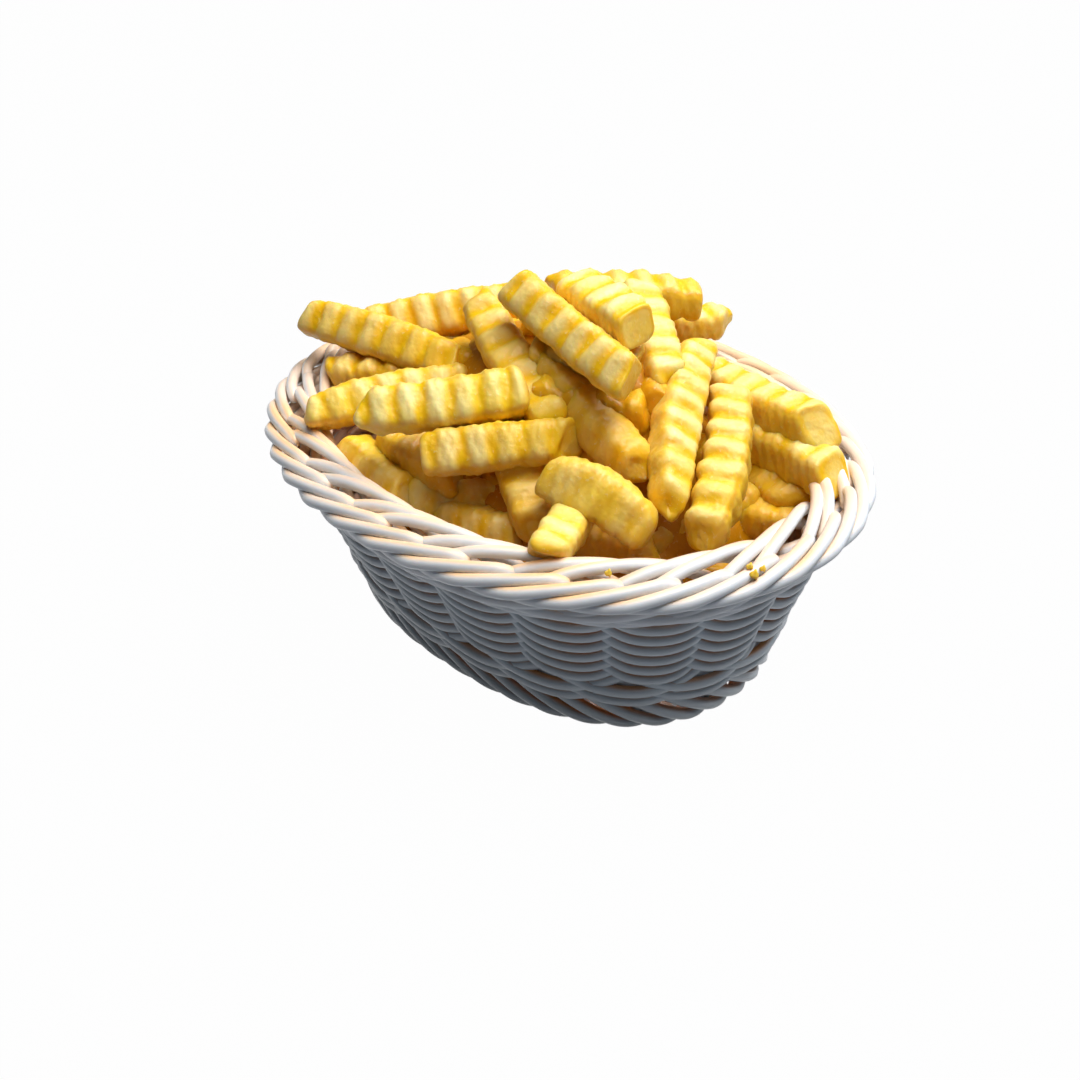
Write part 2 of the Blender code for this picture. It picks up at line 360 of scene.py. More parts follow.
# Spots: round dots on a cell pattern, kept only in the cells whose random value is over the limit.
def spotGroup():
    tree, into, out = newGroup("spots", [("Size", "NodeSocketFloat", 4.0), ("Share", "NodeSocketFloat", 0.1),
                                         ("Reach", "NodeSocketFloat", 0.3)], [("Mask", "NodeSocketFloat")])
    place = addNode(tree, "ShaderNodeTexCoord")
    cells = addNode(tree, "ShaderNodeTexVoronoi")
    tree.links.new(place.outputs["Object"], cells.inputs["Vector"])
    tree.links.new(calc(tree, "DIVIDE", 1000.0, into.outputs["Size"]), cells.inputs["Scale"])
    split = addNode(tree, "ShaderNodeSeparateColor")
    tree.links.new(cells.outputs["Color"], split.inputs["Color"])
    kept = calc(tree, "LESS_THAN", split.outputs["Red"], into.outputs["Share"])
    near = calc(tree, "SUBTRACT", into.outputs["Reach"], cells.outputs["Distance"])
    soft = mapValue(tree, near, 0.0, 0.12)
    tree.links.new(calc(tree, "MULTIPLY", kept, soft), out.inputs["Mask"])
    return tree


mottle = mottleGroup()
spots = spotGroup()


# Places a shared group in a material with its own values.
def groupNode(tree, group, **values):
    node = addNode(tree, "ShaderNodeGroup", {"node_tree": group})
    for key, value in values.items():
        node.inputs[key].default_value = value
    return node


# A new material with its node tree and its Principled shader.
def startMaterial(name):
    made = bpy.data.materials.new(name)
    made.use_nodes = True
    tree = made.node_tree
    return made, tree, tree.nodes["Principled BSDF"]


# Cane plastic: near white on the crown of each strand, a little uneven along it. The warm orange on its
# flanks is painted reflected light from the fries, not a colour of the plastic.
def caneMaterial(name, look):
    made, tree, shader = startMaterial(name)
    flank = addNode(tree, "ShaderNodeAttribute", {"attribute_name": "flank"}).outputs["Fac"]
    shade = addNode(tree, "ShaderNodeAttribute", {"attribute_name": "shade"}).outputs["Fac"]
    patches = groupNode(tree, mottle, Size=look["patch"])
    # Painted reflection: warm fry-coloured bounce light on each strand's flank, in the gaps between strands.
    paintedBounce = mapValue(tree, flank, look["warmFrom"], look["warmTo"])
    uneven = mapValue(tree, patches.outputs["Broad"], 0.35, 0.7, 0.55, 1.0)
    colour = mixColour(tree, calc(tree, "MULTIPLY", paintedBounce, uneven), look["crown"], look["flank"])
    tone = mapValue(tree, shade, 0.0, 1.0, 1.0 - look["vary"], 1.0, "LINEAR")
    grey = mapValue(tree, patches.outputs["Middle"], 0.3, 0.75, 1.0 - look["vary"], 1.0, "LINEAR")
    both = calc(tree, "MULTIPLY", tone, grey)
    wide = addNode(tree, "ShaderNodeCombineColor")
    for label in ("Red", "Green", "Blue"):
        tree.links.new(both, wide.inputs[label])
    colour = mixColour(tree, 1.0, colour, wide.outputs["Color"], "MULTIPLY")
    dots = groupNode(tree, spots, Size=look["dotCell"], Share=look["dotShare"], Reach=look["dotReach"])
    colour = mixColour(tree, dots.outputs["Mask"], colour, look["dot"])
    tree.links.new(colour, shader.inputs["Base Color"])
    rough = mapValue(tree, patches.outputs["Fine"], 0.3, 0.7,
                     look["rough"] - 0.06, look["rough"] + 0.08, "LINEAR")
    tree.links.new(rough, shader.inputs["Roughness"])
    bump = addNode(tree, "ShaderNodeBump", None, {"Strength": 0.12, "Distance": 0.0002})
    tree.links.new(patches.outputs["Fine"], bump.inputs["Height"])
    tree.links.new(bump.outputs["Normal"], shader.inputs["Normal"])
    shader.inputs["IOR"].default_value = 1.5
    shader.inputs["Subsurface Weight"].default_value = look["glow"]
    shader.inputs["Subsurface Radius"].default_value = (1.0, 0.6, 0.35)
    shader.inputs["Subsurface Scale"].default_value = 0.0015
    return made


# Fried potato: pale cream on the ridges, golden between them, browner on cut edges, with fine blisters;
# the cream crests are partly a painted highlight and the golden valleys partly painted shade.
def fryMaterial(name, look):
    made, tree, shader = startMaterial(name)
    ridge = addNode(tree, "ShaderNodeAttribute", {"attribute_name": "ridge"}).outputs["Fac"]
    edge = addNode(tree, "ShaderNodeAttribute", {"attribute_name": "edge"}).outputs["Fac"]
    tone = addNode(tree, "ShaderNodeAttribute", {"attribute_name": "tone"}).outputs["Fac"]
    patches = groupNode(tree, mottle, Size=look["patch"])
    small = groupNode(tree, mottle, Size=look["grain"])
    drift = mapValue(tree, patches.outputs["Middle"], 0.25, 0.75, -0.3, 0.3, "LINEAR")
    wave = calc(tree, "ADD", ridge, drift)
    # Crest against valley: partly the potato's own colour, partly a painted highlight on the crests and
    # painted shade in the valleys.
    pale = mapValue(tree, wave, 0.0, 1.15)
    colour = mixColour(tree, pale, look["valley"], look["crest"])
    cloud = mapValue(tree, patches.outputs["Broad"], 0.42, 0.68)
    colour = mixColour(tree, calc(tree, "MULTIPLY", cloud, 0.75), colour, look["gold"])
    corner = mapValue(tree, edge, 0.5, 1.0)
    burn = calc(tree, "MULTIPLY", corner, mapValue(tree, patches.outputs["Broad"], 0.4, 0.72))
    colour = mixColour(tree, calc(tree, "MULTIPLY", burn, look["burn"]), colour, look["brown"])
    darker = mapValue(tree, tone, 0.0, 1.0, 0.0, look["vary"], "LINEAR")
    colour = mixColour(tree, darker, colour, look["deep"])
    freckle = mapValue(tree, small.outputs["Middle"], 0.6, 0.74, 0.0, 0.3)
    colour = mixColour(tree, freckle, colour, look["freckle"])
    tree.links.new(colour, shader.inputs["Base Color"])
    rough = mapValue(tree, small.outputs["Broad"], 0.3, 0.7,
                     look["rough"] - 0.1, look["rough"] + 0.1, "LINEAR")
    tree.links.new(rough, shader.inputs["Roughness"])
    blister = addNode(tree, "ShaderNodeBump", None, {"Strength": look["bump"], "Distance": 0.0006})
    tree.links.new(small.outputs["Broad"], blister.inputs["Height"])
    fine = addNode(tree, "ShaderNodeBump", None, {"Strength": look["bump"] * 0.7, "Distance": 0.0003})
    tree.links.new(small.outputs["Middle"], fine.inputs["Height"])
    tree.links.new(blister.outputs["Normal"], fine.inputs["Normal"])
    tree.links.new(fine.outputs["Normal"], shader.inputs["Normal"])
    shader.inputs["IOR"].default_value = 1.42
    shader.inputs["Subsurface Weight"].default_value = look["glow"]
    shader.inputs["Subsurface Radius"].default_value = (1.0, 0.55, 0.12)
    shader.inputs["Subsurface Scale"].default_value = 0.004
    return made


# The border: a roll round the rim, pairs of canes arching over it, and two rows of crescents below.
# A knot is the share along a cane, then its columns, its height over the rim's middle or its offset outwards.
border = {
    "rollAcross": 7.0,
    "rollUp": 3.1,
    "rollSpan": 2.7,
    "rollFrom": -118,
    "rollTo": 76,
    "tuckFrom": 0.93,
    "tuckOver": 0.07,
    "tuckDown": 2.2,
    "tuckIn": 0.8,
    "archFrom": 0.1,
    "archLag": 0.36,
    "archColumn": [(0, -0.12), (1, 1.75)],
    "archUp": [(0, -0.6), (0.1, 1.7), (0.22, 3.3), (0.38, 3.7),
               (0.55, 2.9), (0.72, 0.8), (0.86, -2.0), (1, -5.0)],
    "archOut": [(0, 2.4), (0.1, 1.0), (0.22, -0.9), (0.38, -3.3),
                (0.55, -5.5), (0.72, -6.9), (0.86, -7.0), (1, -5.6)],
    "crescentRows": 2,
    "crescentFrom": 0.3,
    "crescentLag": 0.5,
    "crescentSpan": 2.4,
    "crescentDrop": 6.4,
    "crescentDown": 1.0,
    "crescentIn": 0.4,
    "crescentUp": [(0, 2.6), (0.12, 1.4), (0.3, -0.9), (0.5, -1.9), (0.7, -1.2), (0.88, 0.9), (1, 2.4)],
    "crescentOut": [(0, -1.2), (0.12, 1.2), (0.3, 2.8), (0.5, 3.3), (0.7, 3.4), (0.88, 3.0), (1, 1.6)],
}

# Height and offset on the roll's section: an ellipse walked at an even pace from under the rim to its crest.
sectionTurn = np.radians(np.linspace(border["rollFrom"], border["rollTo"], 400))
sectionOut = border["rollAcross"] * np.cos(sectionTurn)
sectionUp = border["rollUp"] * np.sin(sectionTurn)
sectionWalk = np.concatenate([[0], np.cumsum(np.hypot(np.diff(sectionOut), np.diff(sectionUp)))])
sectionWalk /= sectionWalk[-1]


# How far a roll's end is tucked under: nothing at first, then the square of the way past tuckFrom.
def tuck(share):
    return np.clip((share - border["tuckFrom"]) / border["tuckOver"], 0, 1) ** 2


roll = openCanes(
    "roll", np.arange(2 * basket["columns"]) * 0.5,
    lambda s: s * border["rollSpan"],
    lambda s: rimMiddle + np.interp(s, sectionWalk, sectionUp) - border["tuckDown"] * tuck(s),
    lambda s: np.interp(s, sectionWalk, sectionOut) - border["tuckIn"] * tuck(s),
    46, 12, 0.022)

everyColumn = np.arange(basket["columns"])
archStarts = np.sort(np.concatenate([everyColumn, everyColumn + border["archLag"]])) + border["archFrom"]
arch = openCanes(
    "arch", archStarts,
    lambda s: ease(s, border["archColumn"]),
    lambda s: rimMiddle + ease(s, border["archUp"]),
    lambda s: ease(s, border["archOut"]),
    40, 12, 0.03)

crescents = []
for row in range(border["crescentRows"]):
    crescents.append(openCanes(
        "crescent" + str(row), everyColumn + border["crescentFrom"] + border["crescentLag"] * row,
        lambda s: s * border["crescentSpan"],
        lambda s: (rimMiddle - border["crescentDrop"] + ease(s, border["crescentUp"])
                   - border["crescentDown"] * row),
        lambda s: ease(s, border["crescentOut"]) - border["crescentIn"] * row,
        34, 10, 0.025))
rimPiece = joinPieces("rimWeave", [roll, arch] + crescents)
print("border made")

# The wall: pairs of stakes with strands woven round them, and two slanting strands a column below.
# The weave's knots run over two columns; its heights and offsets are in millimetres.
wall = {
    "rows": 6,
    "low": 20.5,
    "step": 4.0,
    "perColumn": 14,
    "weaveCane": 0.93,
    "weaveOut": [(0, -0.5), (0.1, 0.5), (0.25, 1.5), (0.5, 2.0), (0.75, 1.9), (0.9, 1.3), (1.0, 0.5),
                 (1.12, -0.7), (1.3, -1.4), (1.7, -1.5), (1.88, -1.2), (2.0, -0.5)],
    "weaveUp": [(0, 3.2), (0.1, 2.2), (0.25, 0.7), (0.45, -0.3), (0.65, -0.5), (0.85, -0.1), (1.0, 0.7),
                (1.15, 1.6), (1.5, 2.6), (1.85, 3.7), (2.0, 3.2)],
    "stakeAt": (0.44, 0.58),
    "stakeCane": 0.92,
    "stakeLow": 3.5,
    "stakeShort": 6.5,
    "stakeOut": 0.2,
    "strandRows": 2,
    "strandFrom": 0.05,
    "strandSpan": 2.3,
    "strandLow": 15.4,
    "strandStep": 3.6,
    "strandUp": [(0, 6.4), (0.14, 4.3), (0.3, 1.8), (0.48, 0.3),
                 (0.62, 0.2), (0.8, 1.9), (0.92, 3.9), (1, 5.2)],
    "strandOut": [(0, -1.4), (0.14, 0.5), (0.3, 2.0), (0.48, 2.7),
                  (0.62, 2.8), (0.8, 1.6), (0.92, 0.2), (1, -1.4)],
}

# A woven strand: one column outside with its sag, the next one inside, so it closes after the even lap.
steps = np.arange(basket["columns"] * wall["perColumn"]) / wall["perColumn"]
phase = np.mod(steps, 2.0)
weaveOut = ease(phase, wall["weaveOut"])
weaveUp = ease(phase, wall["weaveUp"])
weaveColumn = np.tile(steps, (2 * wall["rows"], 1))
weaveHeight = np.empty_like(weaveColumn)
weaveOffset = np.empty_like(weaveColumn)
for row in range(wall["rows"]):
    for start in (0, 1):
        shift = start * wall["perColumn"]
        weaveHeight[2 * row + start] = wall["low"] + wall["step"] * row + np.roll(weaveUp, shift)
        weaveOffset[2 * row + start] = np.roll(weaveOut, shift)
path, lean = basketPoint(weaveColumn, weaveHeight, weaveOffset)
weave = closedCanes("weave", path, lean, caneRadius * wall["weaveCane"], 10)

stakes = openCanes(
    "stakes", np.sort(np.concatenate([everyColumn + at for at in wall["stakeAt"]])),
    lambda s: 0 * s,
    lambda s: wall["stakeLow"] + s * (rimMiddle - wall["stakeShort"]),
    lambda s: wall["stakeOut"] + 0 * s,
    12, 8, 0.03, caneRadius * wall["stakeCane"])
strands = []
for row in range(wall["strandRows"]):
    strands.append(openCanes(
        "strand" + str(row), everyColumn + wall["strandFrom"],
        lambda s: s * wall["strandSpan"],
        lambda s: wall["strandLow"] - wall["strandStep"] * row + ease(s, wall["strandUp"]),
        lambda s: ease(s, wall["strandOut"]),
        34, 10, 0.03))
wallPiece = joinPieces("wallWeave", [weave, stakes] + strands)
print("wall made")

# The foot: canes that come down the wall and turn under it, and short loops between them.
foot = {
    "span": 1.75,
    "up": [(0, 14.5), (0.15, 12.0), (0.35, 8.2), (0.55, 4.6), (0.72, 2.3), (0.88, 1.65), (1, 1.9)],
    "out": [(0, -1.3), (0.15, 0.8), (0.35, 2.3), (0.55, 3.0), (0.72, 2.7), (0.88, 0.9), (1, -2.2)],
    "loopLag": 0.2,
    "loopSpan": 0.95,
    "loopIn": 0.6,
    "loopUp": [(0, 6.2), (0.2, 4.4), (0.45, 2.1), (0.7, 1.7), (0.88, 2.4), (1, 3.6)],
    "loopOut": [(0, -0.4), (0.2, 1.6), (0.45, 2.6), (0.7, 1.6), (0.88, -0.6), (1, -2.2)],
}
footStarts = np.arange(2 * basket["columns"]) * 0.5
footCanes = openCanes(
    "footCanes", footStarts,
    lambda s: s * foot["span"],
    lambda s: ease(s, foot["up"]),
    lambda s: ease(s, foot["out"]),
    32, 10, 0.03)
footLoops = openCanes(
    "footLoops", footStarts + foot["loopLag"],
    lambda s: s * foot["loopSpan"],
    lambda s: ease(s, foot["loopUp"]),
    lambda s: ease(s, foot["loopOut"]) - foot["loopIn"],
    22, 10, 0.05)
footPiece = joinPieces("footWeave", [footCanes, footLoops])

# The floor's rings are ovals shrinking inwards, each rising over every second rib and dipping under the next.
floorMat = {
    "rings": 9,
    "perColumn": 12,
    "shrink": (1.02, 0.16),
    "edge": 1.5,
    "height": 2.6,
    "ripple": 0.9,
    "ribs": 9,
    "ribEvery": 2.0,
    "ribFrom": 0.5,
    "ribIn": 1.0,
    "ribCane": 0.9,
}
turns = np.arange(basket["columns"] * floorMat["perColumn"]) / floorMat["perColumn"]
floorColumn = np.tile(turns, (floorMat["rings"], 1))
shrink = np.linspace(*floorMat["shrink"], floorMat["rings"])[:, None]
angle = columnAngle(floorColumn)
outerRing = footHalf - basket["footBand"] + floorMat["edge"]
flat = ovalPoint(angle, outerRing, basket["footSquare"]) * shrink[..., None]
ringTurn = np.pi * (floorColumn + np.arange(floorMat["rings"])[:, None])
ripple = floorMat["height"] + floorMat["ripple"] * np.cos(ringTurn)
path = np.concatenate([flat, ripple[..., None]], -1)
lean = np.zeros_like(path)
lean[..., 2] = -1.0
rings = closedCanes("floorRings", path, lean, caneRadius, 8)
ribTurn = np.arange(floorMat["ribs"]) * floorMat["ribEvery"] + floorMat["ribFrom"]
share = caneShares(16, 0.02)
ribEnd = ovalPoint(columnAngle(ribTurn), footHalf - floorMat["ribIn"], basket["footSquare"])
ribPath = ribEnd[:, None] * (1 - 2 * share)[None, :, None]
ribPath = np.concatenate([ribPath, np.full_like(ribPath[..., :1], floorMat["height"])], -1)
ribLean = np.zeros_like(ribPath)
ribLean[..., 2] = -1.0
ribSkin, ribFlank = caneTubes(ribPath, ribLean, caneRadius * floorMat["ribCane"], 8)
ribs = skinMesh("floorRibs", ribSkin, np.stack([ribPath[:, 0], ribPath[:, -1]], 1),
                {"flank": ribFlank, "shade": np.full(ribSkin.shape[:3], 0.5)}, (1, floorMat["ribs"]))
floorPiece = joinPieces("floorWeave", [rings, ribs])
print("foot and floor made")

# Each fry: from and to are the ends of its middle line, turn its angle about that line, wide and thick
# its section. bend and sway bow it upwards and sideways. lean holds four slopes, the cut of the first end
# across and through the fry, then the last end's. thin is how thick each end still is, as a share, and
# soft how far it is rounded. depth is how deep the ridges go, side how much of that shows on the plain
# faces, tone how dark the fry is.
fries = [
    {"from": (-79, -20, 69), "to": (-26, -9, 68), "turn": 50, "wide": 11.5, "thick": 11,
     "lean": (0.2, 0, 0.2, 0.1), "thin": (0.9, 0.85), "soft": 1.6},
    {"from": (-70, -10, 65), "to": (-38, 26, 73), "turn": 55, "wide": 11.8, "thick": 11.5, "bend": 1.2},
    {"from": (-30, -1, 84), "to": (17, -18, 71), "turn": 20, "wide": 11, "thick": 11, "depth": 0.75,
     "soft": 3.0, "thin": (0.82, 0.9)},
    {"from": (-11, -4, 94), "to": (34, -10, 86), "turn": 45, "wide": 11.6, "thick": 11,
     "lean": (0.15, 0.2, 0.3, -0.25), "thin": (0.95, 0.88), "soft": 1.0},
    {"from": (-16, 12, 86), "to": (11, 42, 82), "turn": 0, "wide": 11.5, "thick": 11, "bend": 1.0,
     "thin": (0.9, 0.82)},
    {"from": (-2, 8, 92), "to": (26, 1, 93.5), "turn": 5, "wide": 12.5, "thick": 10.5,
     "lean": (0, 0, 0.15, 0.1), "soft": 0.9, "thin": (0.9, 0.95)},
    {"from": (-12, 28, 72), "to": (7, 58, 70), "turn": 0, "wide": 10.5, "thick": 10,
     "lean": (0, 0, -0.35, 0), "thin": (0.9, 0.85)},
    {"from": (2, 27, 86), "to": (29, 9, 76), "turn": -10, "wide": 11.5, "thick": 11, "thin": (0.9, 0.8),
     "soft": 2.6},
    {"from": (20, 31, 76), "to": (52, -15, 60), "turn": -35, "wide": 11, "thick": 11, "bend": 1.6,
     "sway": -3.2, "thin": (0.85, 0.7), "soft": 3.2, "depth": 0.8},
    {"from": (36, 25, 70), "to": (61, -13, 55), "turn": 0, "wide": 11.8, "thick": 12, "bend": 1.5,
     "sway": 2.2, "thin": (0.85, 0.85), "soft": 2.6, "side": 0.7},
    {"from": (20, 34, 66), "to": (59, 33, 66), "turn": 0, "wide": 12, "thick": 12,
     "lean": (0, 0, -0.2, 0.5), "thin": (0.9, 0.9), "soft": 1.6},
    {"from": (28, 30, 57), "to": (68, 28, 58), "turn": 0, "wide": 12, "thick": 12,
     "lean": (0, 0, 0.1, 0.35), "thin": (0.9, 0.95), "soft": 1.6},
    {"from": (28, 32, 50), "to": (61, 25, 48), "turn": 30, "wide": 11.5, "thick": 11.5, "depth": 0.5,
     "soft": 3.0, "tone": 0.95},
    {"from": (36, 12, 43), "to": (61, 22, 44), "turn": 0, "wide": 11.5, "thick": 11.5, "depth": 0.6,
     "soft": 3.0, "tone": 1.0},
    {"from": (4, -9, 80), "to": (39, -11, 64), "turn": 80, "wide": 11.5, "thick": 11.5, "depth": 0.4,
     "soft": 3.2, "thin": (0.75, 0.85), "tone": 0.85},
    {"from": (-19, -47, 72), "to": (6, -18, 76), "turn": 45, "wide": 12.8, "thick": 12,
     "lean": (0.3, -0.4, 0.1, -0.2), "thin": (0.85, 0.95), "depth": 1.35},
    {"from": (-44, -48, 62), "to": (-22, -12, 66), "turn": 45, "wide": 11, "thick": 11,
     "thin": (0.75, 0.9)},
    {"from": (-4, -43, 64), "to": (22, -16, 68), "turn": 50, "wide": 11.6, "thick": 11.4,
     "lean": (0, 0, -0.35, 0.5), "thin": (0.85, 0.95), "soft": 1.8},
    {"from": (-27, -36, 56), "to": (-2, -34, 54), "turn": 0, "wide": 11.5, "thick": 11, "depth": 0.5,
     "tone": 0.8},
    {"from": (-35, -43, 54), "to": (-9, -44, 49), "turn": 70, "wide": 12.5, "thick": 11.5, "depth": 0.35,
     "lean": (0.3, 0, 0.4, 0), "soft": 1.3},
    {"from": (-14, -42, 48), "to": (4, -25, 47), "turn": 60, "wide": 11, "thick": 11, "depth": 0.4,
     "soft": 1.6},
    {"from": (-5, -38, 44), "to": (19, -30, 43), "turn": 70, "wide": 13, "thick": 11.5, "depth": 0.35,
     "lean": (0, 0, 0.3, 0.2), "soft": 1.2},
    {"from": (-3, -16, 65), "to": (26, -31, 50), "turn": 10, "wide": 12, "thick": 12, "depth": 0.4,
     "soft": 2.2, "tone": 0.6},
    {"from": (29, -21, 56), "to": (44.5, -48, 60), "turn": -14, "wide": 10.5, "thick": 9.5, "depth": 0.5,
     "lean": (0, 0, 0.1, -0.45), "soft": 2.0, "thin": (0.95, 0.85)},
    {"from": (25, -30, 65), "to": (52, -21, 56), "turn": 60, "wide": 12.5, "thick": 11.5, "depth": 0.25,
     "bend": 1.5, "sway": 2.6, "lean": (0, 0, 0, 0), "thin": (0.85, 0.85), "soft": 3.2},
    {"from": (30, -23, 46), "to": (46, -12, 45), "turn": 0, "wide": 11.5, "thick": 11.5, "depth": 0.4,
     "tone": 0.9},
    {"from": (-12, -6, 70), "to": (13, -10, 61), "turn": 20, "wide": 11.5, "thick": 11.5, "depth": 0.6},
    {"from": (8, -6, 69), "to": (22, 14, 68), "turn": 0, "wide": 11.5, "thick": 11.5, "tone": 0.9},
    {"from": (-64, -25, 58), "to": (-40, -8, 60), "turn": 0, "wide": 11.5, "thick": 11.5, "tone": 0.8},
    {"from": (42, -14, 45), "to": (47, 22, 46), "turn": 0, "wide": 11.5, "thick": 11.5, "tone": 1.0},
    {"from": (-52, 12, 62), "to": (-24, 36, 66), "turn": 20, "wide": 11.5, "thick": 11.5},
    {"from": (-40, 32, 57), "to": (-6, 44, 60), "turn": 60, "wide": 11.5, "thick": 11.5},
    {"from": (-62, -2, 56), "to": (-52, 28, 55), "turn": 10, "wide": 11.5, "thick": 11.5},
    {"from": (-30, 20, 70), "to": (0, 24, 76), "turn": 0, "wide": 11.5, "thick": 11.5},
    {"from": (12, 47, 59), "to": (44, 38, 60), "turn": 70, "wide": 11.5, "thick": 11.5},
    {"from": (0, -8, 80), "to": (24, 3, 82), "turn": 10, "wide": 11, "thick": 11, "tone": 0.8},
    {"from": (-15, 3, 80), "to": (15, 17, 83), "turn": 15, "wide": 11.5, "thick": 11, "tone": 0.6},
    {"from": (-34, 12, 66), "to": (-8, 32, 67), "turn": 35, "wide": 11.5, "thick": 11, "tone": 0.6},
]

fryShape = {
    "pitch": 7.0,
    "depth": 0.92,
    "side": 0.15,
    "corner": 3.8,
    "valley": 1.5,
    "slant": 0.12,
    "swell": 0.05,
    "lump": 0.17,
    "taper": 2.5,
    "end": 0.05,
    "caps": (0.84, 0.6, 0.3),
    "rings": 66,
    "around": 36,
}


# Fry skins: a rounded rectangle carried along x between two slanting end cuts, tapered and rounded
# towards them, thinner in each valley of the ridges, which follow a cosine of x, on a slightly bent
# middle line.
def frySkins(settings, shape, seed):
    count = len(settings)
    rand = np.random.default_rng(seed)
    start = np.array([f["from"] for f in settings], float)
    stop = np.array([f["to"] for f in settings], float)
    turn = np.radians([f["turn"] for f in settings])[:, None]

    def column(values):
        return np.array(values, float)[:, None, None]

    wide = column([f["wide"] for f in settings])
    thick = column([f["thick"] for f in settings])
    depth = column([f.get("depth", shape["depth"]) for f in settings])
    flank = column([f.get("side", shape["side"]) for f in settings])
    bend = column([f.get("bend", rand.uniform(-0.8, 0.8)) for f in settings])
    sway = column([f.get("sway", rand.uniform(-0.9, 0.9)) for f in settings])
    soft = column([f.get("soft", rand.uniform(1.2, 2.6)) for f in settings])
    thin = np.array([f.get("thin", rand.uniform(0.78, 0.95, 2)) for f in settings], float)[:, :, None, None]
    lean = [f.get("lean", rand.uniform(-0.3, 0.3, 4)) for f in settings]
    lean = np.array(lean, float)[:, :, None, None]
    tone = np.array([f.get("tone", rand.uniform(0, 0.6)) for f in settings], float)[:, None, None]
    line = stop - start
    length = np.linalg.norm(line, axis=1)[:, None, None]
    theta = 2 * np.pi * (np.arange(shape["around"]) + 0.5) / shape["around"]
    c, s = np.cos(theta), np.sin(theta)
    n = shape["corner"]
    r = (np.abs(c) ** n + np.abs(s) ** n) ** (-1 / n)
    flatY, flatZ = wide / 2 * r * c, thick / 2 * r * s
    left = -length / 2 + lean[:, 0] * flatY + lean[:, 1] * flatZ
    right = length / 2 - lean[:, 2] * flatY - lean[:, 3] * flatZ
    tip = np.array([0.0, 0.08, 0.25, 0.55, 1.0]) * shape["end"]
    between = np.linspace(shape["end"], 1 - shape["end"], shape["rings"] - 8)[1:-1]
    share = np.concatenate([tip, between, 1 - tip[::-1]])[None, :, None]
    x = left + (right - left) * share
    near = np.clip(1 - np.minimum(x - left, right - x) / soft, 0, 1)
    inset = soft * (1 - np.sqrt(np.maximum(1 - near ** 2, 0)))
    phase = rand.uniform(0, 2 * np.pi, (count, 1, 1))
    rate = shape["pitch"] * rand.uniform(0.93, 1.07, (count, 1, 1))
    slant = rand.uniform(-shape["slant"], shape["slant"], (count, 1, 1))
    valley = (0.5 + 0.5 * np.cos(2 * np.pi * (x + slant * flatY) / rate + phase)) ** shape["valley"]
    # Slow swelling of the width and the thickness.
    # A third wave is drawn only to keep the later draws as they are.
    wave = rand.uniform(0.5, 1.5, (count, 1, 3)) * np.pi / 25
    drift = rand.uniform(0, 2 * np.pi, (count, 1, 3))
    swell = [shape["swell"] * np.sin(x * wave[..., k:k + 1] + drift[..., k:k + 1]) for k in range(2)]
    reach = np.clip(np.abs(2 * x / length), 0, 1) ** shape["taper"]
    taper = 1 - reach * (1 - np.where(x < 0, thin[:, 0], thin[:, 1]))
    a = (wide / 2) * taper * (1 + swell[0]) - flank * depth * valley - inset
    b = (thick / 2) * taper * (1 + swell[1]) - depth * valley - inset
    y = a * r * c
    z = b * r * s
    bump = rand.uniform(0, 2 * np.pi, (4, count, 1, 1))
    lump = (np.sin(x * 0.9 + 2 * theta + bump[0]) + np.sin(x * 0.45 + 3 * theta + bump[1])
            + 0.7 * np.sin(x * 2.1 - 4 * theta + bump[2]) + 0.5 * np.sin(x * 3.3 + 5 * theta + bump[3]))
    y = y + shape["lump"] * lump * c * (1 - 0.7 * near)
    z = z + shape["lump"] * lump * s * (1 - 0.7 * near)
    curl = 1 - (2 * x / length) ** 2
    z = z + bend * curl
    y = y + sway * curl
    local = np.stack(np.broadcast_arrays(x, y, z), -1)
    # End caps: each end ring shrinks to the middle of its cut.
    caps = []
    for end in (0, -1):
        ring = local[:, end]
        middle = ring.mean(1, keepdims=True)
        caps.append([middle + (ring - middle) * k for k in shape["caps"]] + [middle[:, 0]])
    rows = np.concatenate([np.stack(caps[0][2::-1], 1), local, np.stack(caps[1][:3], 1)], 1)
    poles = np.stack([caps[0][3], caps[1][3]], 1)
    # Place: x along the fry, z square to the ridged faces, turned about x from the level.
    along = line / np.linalg.norm(line, axis=1, keepdims=True)
    side = np.cross([0, 0, 1.0], along)
    side /= np.linalg.norm(side, axis=1, keepdims=True)
    up = np.cross(along, side)
    across = side * np.cos(turn) + up * np.sin(turn)
    crown = up * np.cos(turn) - side * np.sin(turn)
    basis = np.stack([along, across, crown], 1)
    middle = (start + stop) / 2
    rows = np.einsum("nijk,nkl->nijl", rows, basis) + middle[:, None, None]
    poles = np.einsum("njk,nkl->njl", poles, basis) + middle[:, None]
    # Masks for the colours: the ridged faces with their crests, the corners, and a shade per fry. The crest
    # mask also carries a painted highlight on the crests and painted shade in the valleys.
    face = np.clip((np.abs(r * s) - np.abs(r * c)) * 4 + 0.75, 0, 1)
    bite = np.clip(depth / shape["depth"], 0.25, 1)
    crest = ((1 - valley) * bite + 0.5 * (1 - bite)) * face + 0.42 * (1 - face)
    corner = np.clip(1.25 - 2.6 * np.abs(np.abs(r * s) - np.abs(r * c)), 0, 1)
    full = x.shape
    edge = np.maximum(np.broadcast_to(corner, full), near)
    pad = ((0, 0), (3, 3), (0, 0))
    ridge = np.pad(crest * (1 - 0.45 * near), pad, constant_values=0.5)
    edge = np.pad(edge, pad, constant_values=0.1)
    return rows, poles, {"ridge": ridge, "edge": edge, "tone": np.broadcast_to(tone, ridge.shape)}


rows, poles, masks = frySkins(fries, fryShape, 11)
topFries = skinMesh("topFries", rows, poles, masks, (2, math.ceil(len(fries) / 2)))
print("top fries made:", len(fries))

